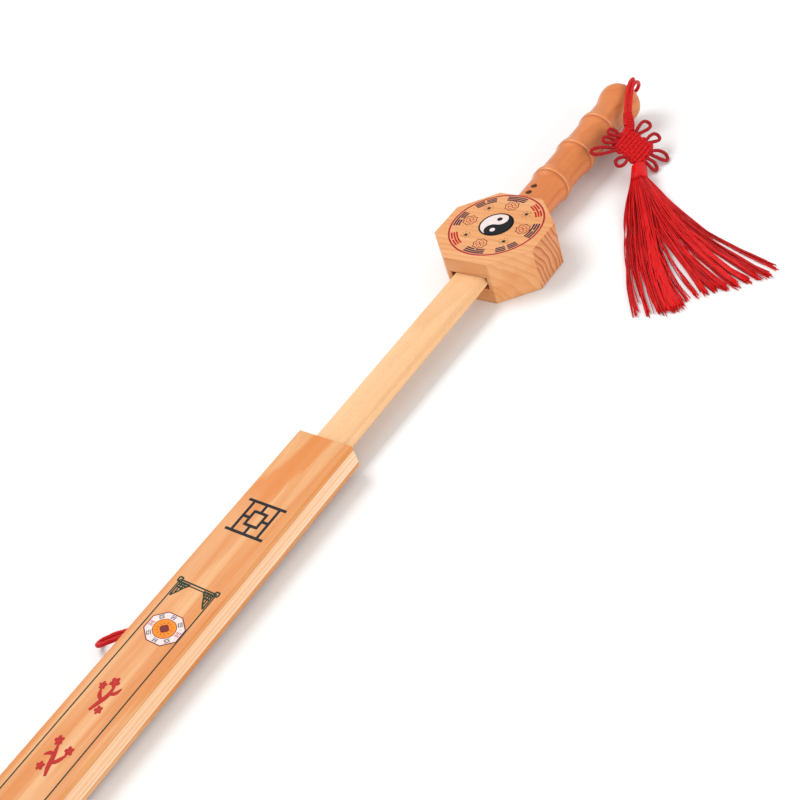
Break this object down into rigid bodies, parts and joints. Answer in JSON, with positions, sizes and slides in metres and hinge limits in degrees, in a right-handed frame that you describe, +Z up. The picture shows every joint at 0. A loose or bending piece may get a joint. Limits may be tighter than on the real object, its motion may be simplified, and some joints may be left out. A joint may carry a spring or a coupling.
{
  "type": "wooden display sword",
  "caption": "Wooden display sword partly drawn from its flat scabbard, with an octagonal guard, a turned handle and a red knotted tassel",
  "frame": {"origin": "centre of the guard's underside, the flat face that rests on the table, with the sword lying on its back and its printed faces up", "axes": "+X runs along the sword from the scabbard's end towards the end of the handle, +Y is across it towards the side with the hanging loop, +Z is up out of the printed faces"},
  "size_m": [0.9856, 0.2443, 0.0364],
  "materials": {
    "guard_wood": "light orange wood with a clear satin coat, grain across the sword on its top face",
    "blade_wood": "pale straight-grained wood, satin",
    "handle_wood": "turned reddish-brown wood, satin",
    "peg_wood": "dark stained peg ends",
    "board_wood": "orange-tan softwood with darker streaks, satin, printed on the front board",
    "rail_wood": "paler straight-grained softwood, satin",
    "eye_metal": "small bright wire screw eye",
    "dark_cord": "dark red twisted rayon cord",
    "red_cord": "deep red twisted rayon cord",
    "red_silk": "bright red rayon floss with a silky sheen"
  },
  "bodies": {
    "scabbard": {"scabbard_front_board": "board_wood", "scabbard_back_board": "board_wood", "scabbard_left_rail": "rail_wood", "scabbard_right_rail": "rail_wood", "scabbard_end_block": "rail_wood", "hanger_eye": "eye_metal"},
    "hanger": {"hanger_cord": "dark_cord", "hanger_knot": "dark_cord"},
    "sword": {"guard": "guard_wood", "blade": "blade_wood", "handle": "handle_wood", "tang_pegs": "peg_wood", "tassel_cord_core": "red_cord"},
    "tassel": {"tassel_strand_upper": "red_cord", "tassel_strand_lower": "red_cord", "tassel_knot": "red_cord", "tassel_head": "red_silk", "tassel_binding": "red_silk", "tassel_fringe": "red_silk"}
  },
  "joints": [
    {"name": "sword_slide", "type": "slide", "parent": "scabbard", "child": "sword", "axis": [1, 0, 0], "range_m": [-0.1758, 0.36]},
    {"name": "tassel_swing", "type": "hinge", "parent": "sword", "child": "tassel", "pos_m": [0.205, 0, 0.0175], "axis": [0, 0, 1], "range_deg": [0, 105]},
    {"name": "hanger_swing", "type": "hinge", "parent": "scabbard", "child": "hanger", "pos_m": [-0.38, 0.0272, 0.0145], "axis": [1, 0, 0], "range_deg": [0, 100]}
  ]
}
